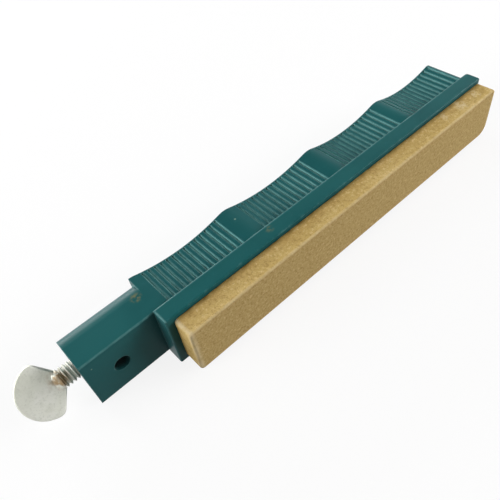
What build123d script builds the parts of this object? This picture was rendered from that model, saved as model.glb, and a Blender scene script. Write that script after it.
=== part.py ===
from build123d import *
import os
from math import asin, cos, degrees, sin

# A guided sharpening hone that lies on its side, in millimetres.
# X runs from the thumbscrew to the far end, Y from the stone's face to the back of the grip,
# and Z up. While it is drawn, X is 0 at the flange's near end, Y is 0 on the face that
# the stone is glued to, and Z is 0 in the middle of its width.

# Stone
stone_length = 95.2
stone_width = 12.7
stone_thickness = 4.76
stone_near_corner_radius = 1.0
stone_far_top_radius = 0.8
stone_far_low_radius = 2.8
stone_edge_radius = 0.45
stone_back_edge_radius = 0.3

# Flange
flange_thickness = 3.8
flange_side_margin = 0.95
stone_setback = 1.6
stone_far_margin = 0.5
flange_edge_radius = 0.35
flange_far_radius = 0.8

# Grip, with one scallop on each side for each of four fingers, from the near end on
# The fourth takes what the other three leave of the grip's length
first_finger = 24.4
second_finger = 25.25
third_finger = 23.8
scallop_depth = 1.8
crest_radius = 4.8
grip_height = 10.2
grip_near_margin = 1.05
grip_far_margin = 0.6
grip_back_chamfer = 0.15
grip_far_corner_radius = 1.3

# Fine grooves across each scallop, which stop a little short of the grip's back
grooves_per_finger = 14
groove_pitch = 1.43
groove_width = 0.7
groove_floor_width = 0.14
groove_depth = 0.36
groove_end_land = 0.2
groove_back_land = 0.4

# Tang
tang_length = 16.1
tang_width = 13.4
tang_back_radius = 4.5
tang_edge_radius = 0.3

# Hole for the guide rod, straight through the tang
rod_hole_diameter = 3.4
rod_hole_from_end = 6.9

# Tapped hole for the thumbscrew, along the tang
screw_from_back = 4.5
thread_diameter = 4.17
screw_running_clearance = 0.08
bore_past_rod_hole = 1.0

# Thumbscrew, a few turns out from the guide rod
shank_showing = 3.3
tip_to_rod_hole = 0.3
tip_chamfer = 0.5
paddle_length = 8.4
paddle_width = 11.5
paddle_thickness = 1.5
paddle_shoulder_radius = 1.5
paddle_edge_radius = 0.35
neck_length = 1.5
neck_foot_width = 4.8
neck_foot_thickness = 1.3
paddle_turn = 51.0

# Sizes that follow from the ones above
flange_length = stone_setback + stone_length + stone_far_margin
flange_width = stone_width + 2 * flange_side_margin
grip_length = flange_length - grip_near_margin - grip_far_margin
fourth_finger = grip_length - first_finger - second_finger - third_finger
finger_widths = [first_finger, second_finger, third_finger, fourth_finger]
grip_back = flange_thickness + grip_height
crest_half_width = tang_width / 2
grip_start = grip_near_margin
grip_end = flange_length - grip_far_margin
tang_end = -tang_length
rod_hole_x = tang_end + rod_hole_from_end
screw_y = grip_back - screw_from_back
screw_tip = rod_hole_x - rod_hole_diameter / 2 - tip_to_rod_hole
neck_start = tang_end - shank_showing


def upright(y):
    """A sketch plane at the height y: it is drawn in X and Z and grows towards the back."""
    return Plane(origin=(0, y, 0), x_dir=(1, 0, 0), z_dir=(0, 1, 0))


def across(x):
    """A sketch plane across the length at x: it is drawn in Y and Z and grows along X."""
    return Plane(origin=(x, 0, 0), x_dir=(0, 1, 0), z_dir=(1, 0, 0))


def make_flange():
    """A plate whose edges are all a little round, and more so at the far end's back."""
    profile = make_face(
        Polyline(
            (0, 0),
            (flange_length, 0),
            (flange_length, flange_thickness),
            (0, flange_thickness),
            close=True,
        )
    )
    profile = fillet(profile.vertices().sort_by(Axis.Y)[:2], flange_edge_radius)
    far_back = profile.vertices().group_by(Axis.Y)[-1].sort_by(Axis.X)[-1]
    profile = fillet(far_back, flange_far_radius)
    plate = extrude(profile, flange_width / 2, both=True)
    sides = plate.faces().sort_by(Axis.Z)
    return fillet(sides[0].edges() + sides[-1].edges(), flange_edge_radius)


def scallop(width):
    """The valley's radius and the angle of the tangent points of one scallop."""
    half = width / 2
    reach = (half**2 + scallop_depth**2) / (2 * scallop_depth)
    return reach - crest_radius, asin(half / reach)


def crest_point(x, angle):
    """A point on the round crest at x, at an angle from its top."""
    return (
        x + crest_radius * sin(angle),
        crest_half_width - crest_radius * (1 - cos(angle)),
    )


def crest_positions():
    """The crests between and beside the fingers, from the near end to the far end."""
    positions = [grip_start]
    for width in finger_widths:
        positions.append(positions[-1] + width)
    return positions


def scalloped_edge():
    """One side of the grip: a valley for each finger, with a round crest on each side of it."""
    crests = crest_positions()
    edges = []
    for start, end, width in zip(crests[:-1], crests[1:], finger_widths):
        angle = scallop(width)[1]
        near = crest_point(start, angle)
        far = crest_point(end, -angle)
        valley = ((start + end) / 2, crest_half_width - scallop_depth)
        edges.append(ThreePointArc(crest_point(start, 0), crest_point(start, angle / 2), near))
        edges.append(ThreePointArc(near, valley, far))
        edges.append(ThreePointArc(far, crest_point(end, -angle / 2), crest_point(end, 0)))
    return edges


def grip_outline():
    one_side = Curve() + scalloped_edge()
    other_side = mirror(one_side, Plane.XZ)
    near_end = Line((grip_start, crest_half_width), (grip_start, -crest_half_width))
    far_end = Line((grip_end, crest_half_width), (grip_end, -crest_half_width))
    return make_face(Curve() + [one_side, other_side, near_end, far_end])


def groove_places():
    """Where each groove is cut in the valleys of one side, and the slope there."""
    places = []
    for start, width in zip(crest_positions()[:-1], finger_widths):
        valley_radius, angle = scallop(width)
        room = 2 * (valley_radius * sin(angle) - groove_end_land)
        count = min(grooves_per_finger, int(room / groove_pitch) + 1)
        for number in range(count):
            offset = (number - (count - 1) / 2) * groove_pitch
            slope = asin(offset / valley_radius)
            x = start + width / 2 + offset
            z = crest_half_width - scallop_depth + valley_radius * (1 - cos(slope))
            places.append((x, z, degrees(slope)))
    return places


def groove_cutters():
    """A trough with sloping walls across the grip for each groove, on both sides."""
    half_floor = groove_floor_width / 2
    half_mouth = groove_width / 2
    half_above = 2 * half_mouth - half_floor
    trough = make_face(
        Polyline(
            (-half_above, groove_depth),
            (half_above, groove_depth),
            (half_floor, -groove_depth),
            (-half_floor, -groove_depth),
            close=True,
        )
    )
    one_side = Sketch() + [
        Pos(x, z) * Rot(0, 0, slope) * trough for x, z, slope in groove_places()
    ]
    other_side = mirror(one_side, Plane.XZ)
    both = upright(flange_thickness) * (one_side + other_side)
    return extrude(both, grip_height - groove_back_land)


def make_grip():
    grip = extrude(upright(flange_thickness) * grip_outline(), grip_height)
    far_corners = grip.edges().filter_by(Axis.Y).sort_by(Axis.X)[-2:]
    grip = fillet(far_corners, grip_far_corner_radius)
    back_rim = grip.faces().sort_by(Axis.Y)[-1].edges()
    grip = chamfer(back_rim, grip_back_chamfer)
    return grip - groove_cutters()


def make_tang():
    """A block with a round back, square to the flange, that runs into the grip's near end."""
    length = grip_start - tang_end
    height = grip_back - flange_thickness
    block = Pos(tang_end + length / 2, flange_thickness + height / 2, 0) * Box(
        length, height, tang_width
    )
    back_corners = block.edges().filter_by(Axis.X).sort_by(Axis.Y)[-2:]
    block = fillet(back_corners, tang_back_radius)
    face_corners = block.edges().filter_by(Axis.X).sort_by(Axis.Y)[:2]
    return fillet(face_corners, tang_edge_radius)


def make_holder():
    rod_hole = extrude(
        upright(flange_thickness) * Pos(rod_hole_x, 0) * Circle(rod_hole_diameter / 2),
        grip_height,
    )
    bore_radius = thread_diameter / 2 + screw_running_clearance
    bore_end = rod_hole_x + rod_hole_diameter / 2 + bore_past_rod_hole
    bore = extrude(across(tang_end) * Pos(screw_y, 0) * Circle(bore_radius), bore_end - tang_end)
    return make_flange() + make_grip() + make_tang() - rod_hole - bore


def make_stone():
    middle_x = stone_setback + stone_length / 2
    stone = Pos(middle_x, -stone_thickness / 2, 0) * Box(
        stone_length, stone_thickness, stone_width
    )
    corners = stone.edges().filter_by(Axis.Y).sort_by(Axis.X)
    stone = fillet(corners[:2], stone_near_corner_radius)
    far_low = stone.edges().filter_by(Axis.Y).group_by(Axis.X)[-1].sort_by(Axis.Z)[0]
    stone = fillet(far_low, stone_far_low_radius)
    far_top = stone.edges().filter_by(Axis.Y).group_by(Axis.X)[-1].sort_by(Axis.Z)[-1]
    stone = fillet(far_top, stone_far_top_radius)
    face_rim = stone.faces().sort_by(Axis.Y)[0].edges()
    stone = fillet(face_rim, stone_edge_radius)
    back_rim = stone.faces().sort_by(Axis.Y)[-1].edges()
    return fillet(back_rim, stone_back_edge_radius)


def paddle_outline():
    """The flattened head from its broad side: two shoulders from the neck at 0 to a half disc."""
    half_neck = thread_diameter / 2
    half_width = paddle_width / 2
    widest = half_width - paddle_length
    outline = make_face(
        Curve()
        + [
            Line((widest, -half_width), (0, -half_neck)),
            Line((0, -half_neck), (0, half_neck)),
            Line((0, half_neck), (widest, half_width)),
            ThreePointArc((widest, half_width), (-paddle_length, 0), (widest, -half_width)),
        ]
    )
    shoulders = outline.vertices().sort_by(Axis.X)[:2]
    return fillet(shoulders, paddle_shoulder_radius)


def make_thumbscrew():
    """The screw with its axis on X and its neck at 0, then turned and put in its bore."""
    paddle = extrude(paddle_outline(), paddle_thickness / 2, both=True)
    rims = paddle.edges().group_by(Axis.Z)
    paddle = fillet(rims[0] + rims[-1], paddle_edge_radius)
    neck_foot = across(-neck_length) * Ellipse(neck_foot_width / 2, neck_foot_thickness / 2)
    neck = loft([neck_foot, across(0) * Circle(thread_diameter / 2)])
    shank = Rot(0, 90, 0) * Cylinder(
        thread_diameter / 2,
        screw_tip - neck_start,
        align=(Align.CENTER, Align.CENTER, Align.MIN),
    )
    shank = chamfer(shank.edges().sort_by(Axis.X)[-1], tip_chamfer)
    screw = Rot(paddle_turn, 0, 0) * (paddle + neck + shank)
    return Pos(neck_start, screw_y, 0) * screw


def rest_on_its_side(pieces):
    """Stand the whole on Z = 0, with the middle of its length and depth at the origin."""
    box = Compound(list(pieces.values())).bounding_box()
    centre = box.center()
    shift = Pos(-centre.X, -centre.Y, -box.min.Z)
    return {name: shift * piece for name, piece in pieces.items()}


pieces = rest_on_its_side(
    {
        "holder": make_holder(),
        "stone": make_stone(),
        "thumbscrew": make_thumbscrew(),
    }
)
os.makedirs("parts", exist_ok=True)
for name, piece in pieces.items():
    export_step(piece, f"parts/{name}.step")
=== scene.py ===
import math

import bmesh
import bpy
from mathutils import Matrix, Vector


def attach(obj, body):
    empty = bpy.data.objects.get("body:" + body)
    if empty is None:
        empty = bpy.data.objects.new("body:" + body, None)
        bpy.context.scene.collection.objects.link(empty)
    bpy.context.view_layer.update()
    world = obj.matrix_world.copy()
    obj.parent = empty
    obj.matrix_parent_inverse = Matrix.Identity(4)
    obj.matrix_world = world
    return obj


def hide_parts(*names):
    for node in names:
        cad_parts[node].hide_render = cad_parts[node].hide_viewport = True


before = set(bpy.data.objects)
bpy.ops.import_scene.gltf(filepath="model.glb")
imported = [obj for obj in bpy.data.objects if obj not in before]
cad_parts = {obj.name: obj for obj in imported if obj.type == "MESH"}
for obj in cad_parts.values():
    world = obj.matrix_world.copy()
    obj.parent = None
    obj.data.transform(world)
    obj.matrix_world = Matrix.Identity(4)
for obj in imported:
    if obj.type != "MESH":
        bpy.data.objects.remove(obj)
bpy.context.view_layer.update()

MM = 0.001

# From the flange's near end and the stone's glued face to the middle of the hone
LENGTH_OFFSET = -34.75
DEPTH_OFFSET = -4.62

# Sizes and places of the hone, in millimetres, as in the part's source
HALF_FLANGE = 7.3
FLANGE_THICKNESS = 3.8
HALF_TANG = 6.7
STONE_SETBACK = 1.6
STONE_LENGTH = 95.2
STONE_THICKNESS = 4.76
HALF_STONE = 6.35
TANG_END = -16.1
SHANK_SHOWING = 3.3
SCREW_DEPTH = 9.5
SCREW_TIP = -11.2
THREAD_DIAMETER = 4.17
TIP_CHAMFER = 0.5
PADDLE_LENGTH = 8.4
PADDLE_WIDTH = 11.5
PADDLE_THICKNESS = 1.5
PADDLE_SHOULDER_RADIUS = 1.5
PADDLE_EDGE_RADIUS = 0.35
PADDLE_TURN = 51.0
NECK_LENGTH = 1.5
NECK_FOOT_WIDTH = 4.8
NECK_FOOT_THICKNESS = 1.3

# The thread, which is only in the render: one turn is given by shares of its pitch
# and how deep the shank is cut there
THREAD_PITCH = 0.79
THREAD_DEPTH = 0.46
THREAD_PROFILE = (
    (0.06, THREAD_DEPTH),
    (0.42, 0.02),
    (0.47, 0.0),
    (0.53, 0.0),
    (0.58, 0.02),
    (0.94, THREAD_DEPTH),
)

# Turns of the thread that are spun before its start and cut off there
THREAD_TURNS_BEFORE = 2

# How far the shank and the neck run past their joint, into each other
SHANK_INTO_NECK = 0.2
NECK_INTO_SHANK = 0.15

# How finely the thumbscrew's curves are divided
THREAD_STEPS = 60
SHOULDER_STEPS = 10
DISC_STEPS = 40
RIM_SEGMENTS = 4
NECK_STEPS = 8
NECK_SEGMENTS = 48
SMOOTH_ANGLE = 35

# Points that lie no farther apart than this are one point
CLOSE = 0.001


def place(x, y, z):
    """A point in millimetres from the flange's near end, put in the part's frame in metres."""
    return Vector(((x + LENGTH_OFFSET) * MM, (y + DEPTH_OFFSET) * MM, (z + HALF_FLANGE) * MM))


def rgba(r, g, b):
    return (r, g, b, 1.0)


# Colours of the plastic and of what lies on it
GREEN_DEEP = rgba(0.007, 0.080, 0.083)
GREEN = rgba(0.010, 0.094, 0.096)
GREEN_PALE = rgba(0.014, 0.100, 0.102)
# A painted highlight, close to every edge and in the grooves
GREEN_EDGE_HIGHLIGHT = rgba(0.080, 0.200, 0.200)
# A painted highlight along the flange's top edges
GREEN_EDGE_LINE_HIGHLIGHT = rgba(0.120, 0.270, 0.265)
# Pale dust in the grooves, together with a painted highlight of their lit walls
GREEN_DUST_AND_HIGHLIGHT = rgba(0.150, 0.365, 0.355)
BROWN_SMUDGE = rgba(0.24, 0.20, 0.06)
PALE_SPECK = rgba(0.22, 0.36, 0.28)
# Painted shade, with grease, in the holes
SHADE_AND_GREASE_IN_HOLES = rgba(0.002, 0.010, 0.010)

# Colours of the stone
TAN_DEEP = rgba(0.51, 0.359, 0.122)
TAN = rgba(0.58, 0.42, 0.161)
TAN_BY_THE_GLUE = rgba(0.42, 0.26, 0.070)
TAN_HONED = rgba(0.50, 0.35, 0.140)
GRAIN_LIGHT = rgba(0.70, 0.54, 0.27)
GRAIN_DARK = rgba(0.30, 0.185, 0.055)
GRAIN_DARKEST = rgba(0.18, 0.115, 0.040)
# Darker brown in a strip along the flange
DARK_BROWN_BY_THE_FLANGE = rgba(0.15, 0.085, 0.020)
# Pale edges of the stone: wear, together with a painted highlight
STONE_WEAR_AND_HIGHLIGHT = rgba(0.66, 0.53, 0.31)
STONE_CHIPPED = rgba(0.68, 0.57, 0.35)

# Colours of the thumbscrew
PLATING_DULL = rgba(0.65, 0.66, 0.57)
PLATING = rgba(0.73, 0.73, 0.67)
PLATING_MOTTLED = rgba(0.52, 0.53, 0.44)
PLATING_SPECKLED = rgba(0.44, 0.45, 0.38)
RUST = rgba(0.27, 0.155, 0.045)
# Painted shade on the steel
SHADE_ON_STEEL = rgba(0.09, 0.105, 0.09)

# Places of the marks that the photo shows, with the radius of each chip
SMUDGE_ON_TANG = place(-0.4, 9.0, HALF_TANG)
SMUDGE_ON_FLANGE = place(28.0, 2.5, HALF_FLANGE)
SPECK_ON_GRIP = place(25.5, 10.2, HALF_TANG)
SPECK_ON_TANG = place(-14.25, 3.8, 4.4)
CHIPS_ON_STONE = (
    (place(80.0, -1.7, HALF_STONE), 1.6),
    (place(86.3, -2.2, HALF_STONE), 2.2),
    (place(92.2, -2.1, HALF_STONE), 1.8),
)
RUST_ON_NECK = place(TANG_END - SHANK_SHOWING - 0.3, SCREW_DEPTH - 1.2, 1.6)
# Places of painted shade on the neck and on the paddle's rim
SHADE_ON_NECK = place(-19.9, 8.4, 2.0)
SHADE_ON_RIM = place(-21.0, 11.9, 2.9)

# Stretches along the hone and away from the flange in which the dust and the painted highlights set
# in, in patches
GRIP_BEGINS = (0.8, 1.4)
GRIP_RISES = (FLANGE_THICKNESS, FLANGE_THICKNESS + 0.2)


# Materials


class Nodes:
    """Short names for building one material's nodes. Radii and widths are in millimetres."""

    def __init__(self, name):
        self.material = bpy.data.materials.new(name)
        self.material.use_nodes = True
        self.tree = self.material.node_tree
        self.shader = self.tree.nodes["Principled BSDF"]
        self.coords = self.tree.nodes.new("ShaderNodeTexCoord").outputs["Object"]
        self.axes = None

    def join(self, source, target):
        self.tree.links.new(source, target)

    def put(self, value, target):
        if isinstance(value, bpy.types.NodeSocket):
            self.join(value, target)
        else:
            target.default_value = value

    def math(self, operation, a, b=0.0):
        node = self.tree.nodes.new("ShaderNodeMath")
        node.operation = operation
        self.put(a, node.inputs[0])
        self.put(b, node.inputs[1])
        return node.outputs[0]

    def times(self, a, b):
        return self.math("MULTIPLY", a, b)

    def most(self, *values):
        result = values[0]
        for value in values[1:]:
            result = self.math("MAXIMUM", result, value)
        return result

    def vector_math(self, operation, a, b):
        node = self.tree.nodes.new("ShaderNodeVectorMath")
        node.operation = operation
        self.put(a, node.inputs[0])
        self.put(b, node.inputs[1])
        return node.outputs["Value"]

    def noise(self, scale, detail=3.0, roughness=0.5, stretch=(1, 1, 1)):
        mapping = self.tree.nodes.new("ShaderNodeMapping")
        mapping.inputs["Scale"].default_value = stretch
        self.join(self.coords, mapping.inputs["Vector"])
        node = self.tree.nodes.new("ShaderNodeTexNoise")
        node.inputs["Scale"].default_value = scale
        node.inputs["Detail"].default_value = detail
        node.inputs["Roughness"].default_value = roughness
        self.join(mapping.outputs[0], node.inputs["Vector"])
        return node.outputs["Fac"]

    def span(self, value, low, high, to_low=0.0, to_high=1.0):
        """A smooth change from to_low, where the value is low, to to_high, where it is high."""
        node = self.tree.nodes.new("ShaderNodeMapRange")
        node.interpolation_type = "SMOOTHSTEP"
        node.inputs["From Min"].default_value = low
        node.inputs["From Max"].default_value = high
        node.inputs["To Min"].default_value = to_low
        node.inputs["To Max"].default_value = to_high
        self.put(value, node.inputs["Value"])
        return node.outputs["Result"]

    def mix(self, factor, a, b):
        node = self.tree.nodes.new("ShaderNodeMix")
        node.data_type = "RGBA"
        self.put(factor, node.inputs[0])
        self.put(a, node.inputs[6])
        self.put(b, node.inputs[7])
        return node.outputs[2]

    def axis(self, index):
        if self.axes is None:
            self.axes = self.tree.nodes.new("ShaderNodeSeparateXYZ")
            self.join(self.coords, self.axes.inputs[0])
        return self.axes.outputs[index]

    def spot(self, centre, radius, core=0.5, strength=1.0):
        """The strength in a spot's core, a share of its radius, falling to 0 at its rim."""
        away = self.vector_math("DISTANCE", self.coords, centre)
        return self.span(away, radius * MM, radius * core * MM, to_high=strength)

    def edge(self, along, point, width, core=0.2, strength=1.0):
        """The strength on the line through a point along an axis, falling to 0 at the width."""
        squares = []
        for index in range(3):
            if index != along:
                away = self.math("SUBTRACT", self.axis(index), point[index])
                squares.append(self.math("POWER", away, 2.0))
        away = self.math("SQRT", self.math("ADD", *squares))
        return self.span(away, width * MM, core * width * MM, to_high=strength)

    def off_plane(self, point, facing):
        """How far a place lies from the plane through a point that faces one way."""
        height = self.vector_math("DOT_PRODUCT", self.coords, facing)
        return self.math("ABSOLUTE", self.math("SUBTRACT", height, point.dot(facing)))

    def rounded(self, radius):
        """The surface's direction, as if its edges were rounded to the radius."""
        node = self.tree.nodes.new("ShaderNodeBevel")
        node.samples = 6
        node.inputs["Radius"].default_value = radius * MM
        return node.outputs[0]

    def by_edges(self, radius, slight, full):
        """0 on flat stretches, rising to 1 close to an edge or in a narrow groove."""
        geometry = self.tree.nodes.new("ShaderNodeNewGeometry")
        direction = geometry.outputs["True Normal"]
        likeness = self.vector_math("DOT_PRODUCT", self.rounded(radius), direction)
        return self.span(likeness, 1.0 - slight, 1.0 - full)

    def sheltered(self, reach, slight, full):
        """0 in the open, rising to 1 where walls closer than the reach stand round a point."""
        node = self.tree.nodes.new("ShaderNodeAmbientOcclusion")
        node.samples = 8
        node.only_local = True
        node.inputs["Distance"].default_value = reach * MM
        return self.span(node.outputs["AO"], 1.0 - slight, 1.0 - full)

    def bump(self, height, strength, distance, on=None):
        """Relief from a height, on the surface's own direction or the one given."""
        node = self.tree.nodes.new("ShaderNodeBump")
        if on is not None:
            self.join(on, node.inputs["Normal"])
        node.inputs["Strength"].default_value = strength
        node.inputs["Distance"].default_value = distance * MM
        self.put(height, node.inputs["Height"])
        self.join(node.outputs[0], self.shader.inputs["Normal"])

    def sheen(self, weight, roughness):
        self.shader.inputs["Sheen Weight"].default_value = weight
        self.shader.inputs["Sheen Roughness"].default_value = roughness

    def finish(self, color, roughness, metallic=0.0, specular=0.5):
        self.put(color, self.shader.inputs["Base Color"])
        self.put(roughness, self.shader.inputs["Roughness"])
        self.shader.inputs["Metallic"].default_value = metallic
        self.shader.inputs["Specular IOR Level"].default_value = specular
        return self.material


def plastic_smudges(n):
    """Brownish smudges in blotches, on the tang and fainter on the flange."""
    smudges = n.most(
        n.spot(SMUDGE_ON_TANG, radius=1.5, core=0.2),
        n.spot(SMUDGE_ON_FLANGE, radius=1.3, core=0.2, strength=0.5),
    )
    blotches = n.span(n.noise(scale=1100, detail=2.0), low=0.4, high=0.6, to_high=0.6)
    return n.times(smudges, blotches)


def plastic_specks(n):
    return n.most(
        n.spot(SPECK_ON_GRIP, radius=0.3, strength=0.6),
        n.spot(SPECK_ON_TANG, radius=0.2, strength=0.6),
    )


def on_the_grip(n):
    """1 on the grip and 0 on the tang and the flange."""
    begins = [place(x, 0, 0).x for x in GRIP_BEGINS]
    rises = [place(0, y, 0).y for y in GRIP_RISES]
    return n.times(n.span(n.axis(0), *begins), n.span(n.axis(1), *rises))


def plastic_edge_highlights(n):
    """Painted highlights along the top edges of the flange, and of the grip and the tang where they
    stand on it.
    """
    inset = 0.1
    top = HALF_FLANGE - inset
    patches = n.span(
        n.noise(scale=520, detail=4.0, roughness=0.7), low=0.45, high=0.75, to_high=0.5
    )
    grip_foot = place(0, FLANGE_THICKNESS + inset, HALF_TANG - inset)
    return n.most(
        n.edge(0, place(0, FLANGE_THICKNESS - inset, top), width=0.45),
        n.edge(1, place(inset, 0, top), width=0.4),
        n.times(n.edge(0, place(0, inset, top), width=0.4), patches),
        n.edge(0, grip_foot, width=0.35, strength=0.7),
    )


def plastic_material():
    """Green moulded plastic with dirt, dust and a painted highlight in its grooves, painted
    highlights on its edges and painted shade with grease in its holes.
    """
    n = Nodes("moulded_plastic")
    clouds = n.noise(scale=60)
    pores = n.noise(scale=900, roughness=0.6)
    color = n.mix(n.span(clouds, low=0.35, high=0.65), GREEN_DEEP, GREEN)
    color = n.mix(n.span(pores, low=0.55, high=0.75, to_high=0.35), color, GREEN_PALE)
    color = n.mix(plastic_smudges(n), color, BROWN_SMUDGE)
    color = n.mix(plastic_specks(n), color, PALE_SPECK)

    grip = on_the_grip(n)
    unevenness = n.noise(scale=700, roughness=0.6)
    patchiness = n.times(
        n.span(unevenness, low=0.3, high=0.6, to_low=0.45),
        n.span(grip, low=0.0, high=1.0, to_low=0.7),
    )
    # Painted highlights close to every edge and in the grooves of the grip, in patches
    edges = n.by_edges(radius=0.3, slight=0.01, full=0.08)
    color = n.mix(n.times(edges, patchiness), color, GREEN_EDGE_HIGHLIGHT)
    # Pale dust in the grooves of the grip, together with a painted highlight of their lit walls
    grooves = n.times(n.sheltered(reach=0.6, slight=0.10, full=0.28), grip)
    dust_and_highlight = n.times(grooves, n.span(patchiness, low=0.1, high=1.0, to_low=0.6))
    color = n.mix(dust_and_highlight, color, GREEN_DUST_AND_HIGHLIGHT)
    # Painted highlights along the top edges of the flange and of the grip's foot
    color = n.mix(n.times(plastic_edge_highlights(n), patchiness), color, GREEN_EDGE_LINE_HIGHLIGHT)
    # Painted shade, with grease, deep in the rod hole and in other enclosed places
    color = n.mix(n.sheltered(reach=8.0, slight=0.50, full=0.75), color, SHADE_AND_GREASE_IN_HOLES)

    n.bump(pores, strength=0.2, distance=0.05, on=n.rounded(radius=0.15))
    n.sheen(weight=0.12, roughness=0.35)
    roughness = n.span(clouds, low=0.3, high=0.7, to_low=0.34, to_high=0.42)
    return n.finish(color, roughness, specular=0.07)


def stone_edge_wear_and_highlight(n):
    """The edges round the honed face and at both ends of the top side, paler in patches: wear,
    together with a painted highlight.
    """
    near = STONE_SETBACK
    far = near + STONE_LENGTH
    face = -STONE_THICKNESS
    by_edges = n.most(
        n.edge(0, place(0, face + 0.15, HALF_STONE - 0.15), width=0.5, strength=0.6),
        n.edge(0, place(0, face + 0.15, -HALF_STONE + 0.15), width=0.6),
        n.edge(2, place(near + 0.4, face + 0.3, 0), width=1.0),
        n.edge(2, place(far - 0.2, face + 0.2, 0), width=0.9),
        n.edge(1, place(near + 0.3, 0, HALF_STONE - 0.3), width=0.8),
        n.edge(1, place(far - 0.3, 0, HALF_STONE - 0.3), width=0.8),
    )
    patches = n.noise(scale=700, roughness=0.7)
    return n.times(by_edges, n.span(patches, low=0.35, high=0.6, to_low=0.35, to_high=0.85))


def stone_chips(n):
    """Pale chipped patches on the top side at the far end."""
    chips = n.most(*[n.spot(centre, radius, core=0.3) for centre, radius in CHIPS_ON_STONE])
    patches = n.noise(scale=1300, roughness=0.7)
    return n.times(chips, n.span(patches, low=0.45, high=0.55, to_high=0.6))


def stone_material():
    """Tan bonded abrasive, honed on its face and darker brown in a strip along the flange."""
    n = Nodes("bonded_abrasive")
    clouds = n.noise(scale=90, detail=4.0)
    grain = n.noise(scale=1500, detail=4.0, roughness=0.75)
    fine_grain = n.noise(scale=3400, detail=2.0, roughness=0.6)
    depth = n.axis(1)
    glue = place(0, -0.2, 0).y
    dark_strip_end = place(0, -1.5, 0).y
    face = place(0, -STONE_THICKNESS, 0).y
    under_face = place(0, -STONE_THICKNESS + 0.3, 0).y

    color = n.mix(n.span(clouds, low=0.3, high=0.7), TAN_DEEP, TAN)
    # The side grows darker and browner towards the flange
    color = n.mix(n.span(depth, glue, face, to_low=0.45, to_high=0.0), color, TAN_BY_THE_GLUE)
    color = n.mix(n.span(depth, under_face, face, to_high=0.8), color, TAN_HONED)
    color = n.mix(n.span(grain, low=0.52, high=0.68, to_high=0.75), color, GRAIN_LIGHT)
    color = n.mix(n.span(grain, low=0.48, high=0.34, to_high=0.65), color, GRAIN_DARK)
    color = n.mix(n.span(fine_grain, low=0.60, high=0.74, to_high=0.5), color, GRAIN_DARKEST)
    # A darker brown strip along the flange, in blotches
    blotches = n.span(n.noise(scale=420), low=0.3, high=0.7, to_low=0.45, to_high=0.9)
    dark_strip = n.times(n.span(depth, dark_strip_end, glue), blotches)
    color = n.mix(dark_strip, color, DARK_BROWN_BY_THE_FLANGE)
    color = n.mix(stone_edge_wear_and_highlight(n), color, STONE_WEAR_AND_HIGHLIGHT)
    color = n.mix(stone_chips(n), color, STONE_CHIPPED)

    n.bump(grain, strength=0.6, distance=0.14)
    return n.finish(color, roughness=0.9, specular=0.15)


def paddle_shade(n):
    """Painted shade in a spot on the neck and on the paddle's rim."""
    turn = math.radians(PADDLE_TURN)
    flat_side = Vector((0, -math.sin(turn), math.cos(turn)))
    off_middle = n.off_plane(place(0, SCREW_DEPTH, 0), flat_side)
    rim = n.span(off_middle, 0.68 * MM, 0.58 * MM)
    shade = n.most(
        n.spot(SHADE_ON_NECK, radius=1.0, core=0.2),
        n.times(n.spot(SHADE_ON_RIM, radius=2.0, core=0.6), rim),
    )
    patches = n.noise(scale=700, roughness=0.6)
    return n.times(shade, n.span(patches, low=0.35, high=0.6, to_low=0.3, to_high=0.85))


def steel_material():
    """Plated steel, mottled and lightly scratched, with rust at the neck."""
    n = Nodes("plated_steel")
    clouds = n.noise(scale=180, detail=4.0)
    mottle = n.noise(scale=620, roughness=0.6)
    speckle = n.noise(scale=2600, roughness=0.7)
    scratches = n.noise(scale=2500, detail=2.0, roughness=0.6, stretch=(0.08, 1, 1))

    color = n.mix(n.span(clouds, low=0.35, high=0.7), PLATING_DULL, PLATING)
    color = n.mix(n.span(mottle, low=0.50, high=0.68, to_high=0.3), color, PLATING_MOTTLED)
    color = n.mix(n.span(speckle, low=0.50, high=0.70, to_high=0.4), color, PLATING_SPECKLED)
    blotches = n.span(n.noise(scale=900, detail=4.0), low=0.36, high=0.56, to_high=0.85)
    rust = n.times(n.spot(RUST_ON_NECK, radius=2.8, core=0.35), blotches)
    color = n.mix(rust, color, RUST)
    # Painted shade on the neck and along the paddle's rim
    color = n.mix(paddle_shade(n), color, SHADE_ON_STEEL)

    n.bump(scratches, strength=0.3, distance=0.04)
    roughness = n.span(clouds, low=0.3, high=0.7, to_low=0.52, to_high=0.62)
    return n.finish(color, roughness, metallic=0.5)


def dress(obj, material):
    obj.data.materials.clear()
    obj.data.materials.append(material)


# The thumbscrew, with its thread


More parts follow.
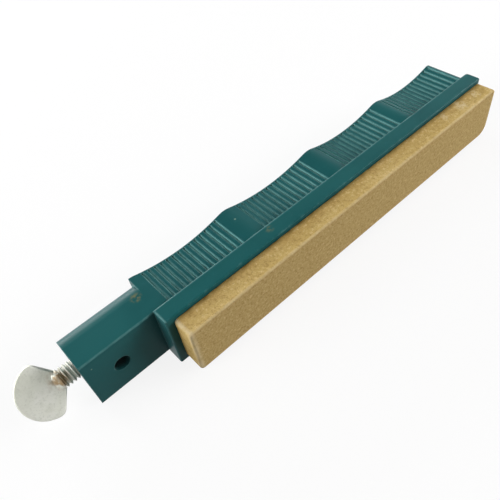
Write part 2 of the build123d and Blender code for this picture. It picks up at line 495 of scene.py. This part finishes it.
def threaded_shank():
    """The shank along X from the neck at 0 to its tip: a profile spun on a helix, cut to length."""
    bm = bmesh.new()
    start = -SHANK_INTO_NECK
    tip = SCREW_TIP - (TANG_END - SHANK_SHOWING)
    crest = THREAD_DIAMETER / 2
    turns = math.ceil((tip - start) / THREAD_PITCH) + THREAD_TURNS_BEFORE + 1
    verts = []
    for turn in range(turns):
        for share, depth in THREAD_PROFILE:
            along = start + (turn - THREAD_TURNS_BEFORE + share) * THREAD_PITCH
            verts.append(bm.verts.new((along, crest - depth, 0)))
    edges = [bm.edges.new(pair) for pair in zip(verts[:-1], verts[1:])]
    bmesh.ops.spin(
        bm,
        geom=verts + edges,
        cent=(0, 0, 0),
        axis=(1, 0, 0),
        dvec=(THREAD_PITCH / THREAD_STEPS, 0, 0),
        angle=math.tau,
        steps=THREAD_STEPS,
    )
    bmesh.ops.remove_doubles(bm, verts=bm.verts[:], dist=2 * CLOSE)
    for x, side in ((start, -1), (tip, 1)):
        cut = bmesh.ops.bisect_plane(
            bm,
            geom=bm.verts[:] + bm.edges[:] + bm.faces[:],
            plane_co=(x, 0, 0),
            plane_no=(side, 0, 0),
            clear_outer=True,
        )
        rim = [e for e in cut["geom_cut"] if isinstance(e, bmesh.types.BMEdge)]
        bmesh.ops.contextual_create(bm, geom=rim)
    chamfer_tip(bm, tip)
    return bm


def chamfer_tip(bm, tip):
    """Press the thread down to a cone over the last stretch before the tip."""
    for v in bm.verts:
        radius = math.hypot(v.co.y, v.co.z)
        limit = THREAD_DIAMETER / 2 - max(0.0, TIP_CHAMFER - (tip - v.co.x))
        if radius > limit:
            v.co.y *= limit / radius
            v.co.z *= limit / radius


def last_vert(spun):
    return next(v for v in spun["geom_last"] if isinstance(v, bmesh.types.BMVert))


def paddle():
    """The flattened head in the X and Y plane: two shoulders from the neck at 0 to a half disc."""
    bm = bmesh.new()
    low = -PADDLE_THICKNESS / 2
    radius = PADDLE_WIDTH / 2
    corner = PADDLE_SHOULDER_RADIUS
    disc = Vector((radius - PADDLE_LENGTH, 0, low))
    foot = Vector((0, THREAD_DIAMETER / 2, low))

    # The shoulder's round corner touches its straight stretch and, from inside, the disc
    shoulder = (disc + Vector((0, radius, 0)) - foot).normalized()
    inwards = Vector((-shoulder.y, shoulder.x, 0))
    beside = foot + corner * inwards - disc
    ahead = beside.dot(shoulder)
    reach = math.sqrt(ahead**2 - beside.length_squared + (radius - corner) ** 2) - ahead
    centre = foot + corner * inwards + reach * shoulder
    start = math.atan2(-inwards.y, -inwards.x)
    onto_disc = math.atan2(centre.y, centre.x - disc.x)

    neck_side = bm.verts.new(foot)
    first = bm.verts.new(centre - corner * inwards)
    bm.edges.new((neck_side, first))
    turned = bmesh.ops.spin(
        bm,
        geom=[first],
        cent=centre,
        axis=(0, 0, 1),
        angle=onto_disc - start,
        steps=SHOULDER_STEPS,
        use_merge=False,
    )
    bmesh.ops.spin(
        bm,
        geom=[last_vert(turned)],
        cent=disc,
        axis=(0, 0, 1),
        angle=math.pi - onto_disc,
        steps=DISC_STEPS,
        use_merge=False,
    )
    half = bm.verts[:] + bm.edges[:]
    bmesh.ops.mirror(bm, geom=half, axis="Y", merge_dist=CLOSE)
    across = [v for v in bm.verts if v.co.x > -CLOSE]
    bm.edges.new(across)
    bmesh.ops.contextual_create(bm, geom=bm.edges[:])
    thicken_paddle(bm)
    return bm


def thicken_paddle(bm):
    """Raise the flat outline to its thickness and round both rims."""
    raised = bmesh.ops.extrude_face_region(bm, geom=bm.faces[:])
    top = [v for v in raised["geom"] if isinstance(v, bmesh.types.BMVert)]
    bmesh.ops.translate(bm, vec=(0, 0, PADDLE_THICKNESS), verts=top)
    bmesh.ops.recalc_face_normals(bm, faces=bm.faces[:])
    rims = [e for e in bm.edges if abs(e.verts[0].co.z - e.verts[1].co.z) < CLOSE]
    bmesh.ops.bevel(
        bm,
        geom=rims,
        offset=PADDLE_EDGE_RADIUS,
        offset_type="OFFSET",
        segments=RIM_SEGMENTS,
        profile=0.5,
        affect="EDGES",
        material=-1,
    )


def neck():
    """The blend from the flat head to the round shank: hoops that are bridged."""
    bm = bmesh.new()
    upright = Matrix.Rotation(math.pi / 2, 4, "Y")
    hoops = []
    for step in range(NECK_STEPS + 1):
        share = step / NECK_STEPS
        ease = share * share * (3 - 2 * share)
        half_width = (NECK_FOOT_WIDTH + (THREAD_DIAMETER - NECK_FOOT_WIDTH) * ease) / 2
        half_thickness = (NECK_FOOT_THICKNESS + (THREAD_DIAMETER - NECK_FOOT_THICKNESS) * ease) / 2
        x = -NECK_LENGTH + (NECK_LENGTH + NECK_INTO_SHANK) * share
        shape = Matrix.Diagonal((1, half_width, half_thickness, 1))
        circle = bmesh.ops.create_circle(
            bm,
            segments=NECK_SEGMENTS,
            radius=1.0,
            matrix=Matrix.Translation((x, 0, 0)) @ shape @ upright,
        )
        hoops.append(list(dict.fromkeys(e for v in circle["verts"] for e in v.link_edges)))
    for first, second in zip(hoops[:-1], hoops[1:]):
        bmesh.ops.bridge_loops(bm, edges=first + second)
    for hoop in (hoops[0], hoops[-1]):
        bmesh.ops.contextual_create(bm, geom=hoop)
    return bm


def temporary_object(bm):
    bmesh.ops.recalc_face_normals(bm, faces=bm.faces[:])
    mesh = bpy.data.meshes.new("temporary")
    bm.to_mesh(mesh)
    bm.free()
    obj = bpy.data.objects.new("temporary", mesh)
    bpy.context.scene.collection.objects.link(obj)
    return obj


def united(shells):
    """One mesh without inner walls from several closed shells that overlap."""
    objects = [temporary_object(bm) for bm in shells]
    for other in objects[1:]:
        join = objects[0].modifiers.new("join", "BOOLEAN")
        join.operation = "UNION"
        join.solver = "EXACT"
        join.object = other
    depsgraph = bpy.context.evaluated_depsgraph_get()
    whole = bmesh.new()
    whole.from_object(objects[0], depsgraph)
    for obj in objects:
        bpy.data.objects.remove(obj)
    return whole


def new_piece(name, bm, material, body):
    mesh = bpy.data.meshes.new(name)
    bm.to_mesh(mesh)
    bm.free()
    for polygon in mesh.polygons:
        polygon.use_smooth = True
    mesh.set_sharp_from_angle(angle=math.radians(SMOOTH_ANGLE))
    obj = bpy.data.objects.new(name, mesh)
    bpy.context.scene.collection.objects.link(obj)
    dress(obj, material)
    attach(obj, body)
    return obj


def build_thumbscrew(material):
    bm = united([threaded_shank(), neck(), paddle()])
    turn = Matrix.Rotation(math.radians(PADDLE_TURN), 4, "X")
    bmesh.ops.transform(bm, matrix=turn, verts=bm.verts[:])
    bmesh.ops.scale(bm, vec=(MM, MM, MM), verts=bm.verts[:])
    bmesh.ops.translate(bm, vec=place(TANG_END - SHANK_SHOWING, SCREW_DEPTH, 0), verts=bm.verts[:])
    obj = new_piece("thumbscrew_threaded", bm, material, "thumbscrew")
    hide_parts("thumbscrew")


# Floor, light and camera

# The floor is a square that ends before the lamps, so that no unlit strip of it shows
HALF_FLOOR = 0.5
FLOOR_SEEN = rgba(0.9, 0.9, 0.9)
FLOOR_IN_SOFT_LIGHT = rgba(0.16, 0.16, 0.16)
FLOOR_GLOW = 0.85

# The room lights the hone softly, and looks white up to where its ceiling starts
WHITE = rgba(1, 1, 1)
ROOM_LIGHT = 0.13
CEILING_STARTS = 0.25
CEILING_FULL = 0.75
CEILING_SEEN = 0.6

LAMP_DISTANCE = 0.70

# The camera stands where the one that took the photo stood

CAMERA_PLACE = place(-16.955, -54.093, 85.625)
CAMERA_ANGLES = (40.349, 6.3744, -42.3438)
CAMERA_SENSOR = 36.0
CAMERA_LENS = 38.463
CAMERA_NEAREST = 0.005
CAMERA_FARTHEST = 20.0


def seen_directly(tree):
    """1 for rays of the camera, of reflections and through glass, and 0 for soft bounced light."""
    rays = tree.nodes.new("ShaderNodeLightPath")
    first = tree.nodes.new("ShaderNodeMath")
    first.operation = "MAXIMUM"
    second = tree.nodes.new("ShaderNodeMath")
    second.operation = "MAXIMUM"
    tree.links.new(rays.outputs["Is Camera Ray"], first.inputs[0])
    tree.links.new(rays.outputs["Is Glossy Ray"], first.inputs[1])
    tree.links.new(first.outputs[0], second.inputs[0])
    tree.links.new(rays.outputs["Is Transmission Ray"], second.inputs[1])
    return second.outputs[0]


def floor_material():
    """A white floor that keeps the shadow and throws little light back on the hone."""
    n = Nodes("floor")
    seen = seen_directly(n.tree)
    n.finish(n.mix(seen, FLOOR_IN_SOFT_LIGHT, FLOOR_SEEN), roughness=0.9, specular=0.1)
    glow = n.tree.nodes.new("ShaderNodeEmission")
    glow.inputs["Color"].default_value = WHITE
    blend = n.tree.nodes.new("ShaderNodeMixShader")
    n.join(n.times(seen, FLOOR_GLOW), blend.inputs[0])
    n.join(n.shader.outputs[0], blend.inputs[1])
    n.join(glow.outputs[0], blend.inputs[2])
    n.join(blend.outputs[0], n.tree.nodes["Material Output"].inputs["Surface"])
    return n.material


def build_floor():
    bm = bmesh.new()
    bmesh.ops.create_grid(bm, x_segments=1, y_segments=1, size=HALF_FLOOR)
    mesh = bpy.data.meshes.new("floor")
    bm.to_mesh(mesh)
    bm.free()
    obj = bpy.data.objects.new("floor", mesh)
    bpy.context.scene.collection.objects.link(obj)
    dress(obj, floor_material())


def build_world():
    """A soft room, white all round and dimmer overhead where it is seen directly."""
    world = bpy.data.worlds.new("studio")
    bpy.context.scene.world = world
    world.use_nodes = True
    tree = world.node_tree
    soft = tree.nodes["Background"]
    soft.inputs["Color"].default_value = WHITE
    soft.inputs["Strength"].default_value = ROOM_LIGHT
    direction = tree.nodes.new("ShaderNodeTexCoord")
    height = tree.nodes.new("ShaderNodeSeparateXYZ")
    tree.links.new(direction.outputs["Generated"], height.inputs[0])
    overhead = tree.nodes.new("ShaderNodeMapRange")
    overhead.interpolation_type = "SMOOTHSTEP"
    overhead.inputs["From Min"].default_value = CEILING_STARTS
    overhead.inputs["From Max"].default_value = CEILING_FULL
    overhead.inputs["To Min"].default_value = 1.0
    overhead.inputs["To Max"].default_value = CEILING_SEEN
    tree.links.new(height.outputs[2], overhead.inputs["Value"])
    white = tree.nodes.new("ShaderNodeBackground")
    white.inputs["Color"].default_value = WHITE
    tree.links.new(overhead.outputs["Result"], white.inputs["Strength"])
    blend = tree.nodes.new("ShaderNodeMixShader")
    tree.links.new(seen_directly(tree), blend.inputs[0])
    tree.links.new(soft.outputs[0], blend.inputs[1])
    tree.links.new(white.outputs[0], blend.inputs[2])
    tree.links.new(blend.outputs[0], tree.nodes["World Output"].inputs["Surface"])


def area_lamp(name, azimuth, elevation, width, height, radiance):
    """A soft box aimed at the hone, from an azimuth measured from +X towards +Y."""
    data = bpy.data.lights.new(name, "AREA")
    data.shape = "RECTANGLE"
    data.size = width
    data.size_y = height
    data.energy = radiance * math.pi * width * height
    around = math.radians(azimuth)
    up = math.radians(elevation)
    towards = Vector(
        (math.cos(up) * math.cos(around), math.cos(up) * math.sin(around), math.sin(up))
    )
    obj = bpy.data.objects.new(name, data)
    obj.location = towards * LAMP_DISTANCE
    obj.rotation_euler = towards.to_track_quat("Z", "Y").to_euler()
    bpy.context.scene.collection.objects.link(obj)


def build_camera():
    data = bpy.data.cameras.new("camera")
    data.sensor_width = CAMERA_SENSOR
    data.lens = CAMERA_LENS
    data.clip_start = CAMERA_NEAREST
    data.clip_end = CAMERA_FARTHEST
    obj = bpy.data.objects.new("camera", data)
    obj.location = CAMERA_PLACE
    obj.rotation_euler = tuple(math.radians(angle) for angle in CAMERA_ANGLES)
    bpy.context.scene.collection.objects.link(obj)
    bpy.context.scene.camera = obj


dress(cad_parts["holder"], plastic_material())
dress(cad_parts["stone"], stone_material())
build_thumbscrew(steel_material())
build_floor()
build_world()
area_lamp("key", azimuth=162, elevation=20, width=0.60, height=0.36, radiance=7.5)
area_lamp("top", azimuth=48, elevation=50, width=0.50, height=0.50, radiance=0.3)
area_lamp("fill", azimuth=-26, elevation=20, width=0.75, height=0.34, radiance=8.0)
area_lamp("back", azimuth=95, elevation=12, width=0.45, height=0.24, radiance=12.0)
area_lamp("front", azimuth=-65, elevation=38, width=0.25, height=0.07, radiance=7.0)
build_camera()

bpy.context.scene.view_settings.view_transform = "Standard"
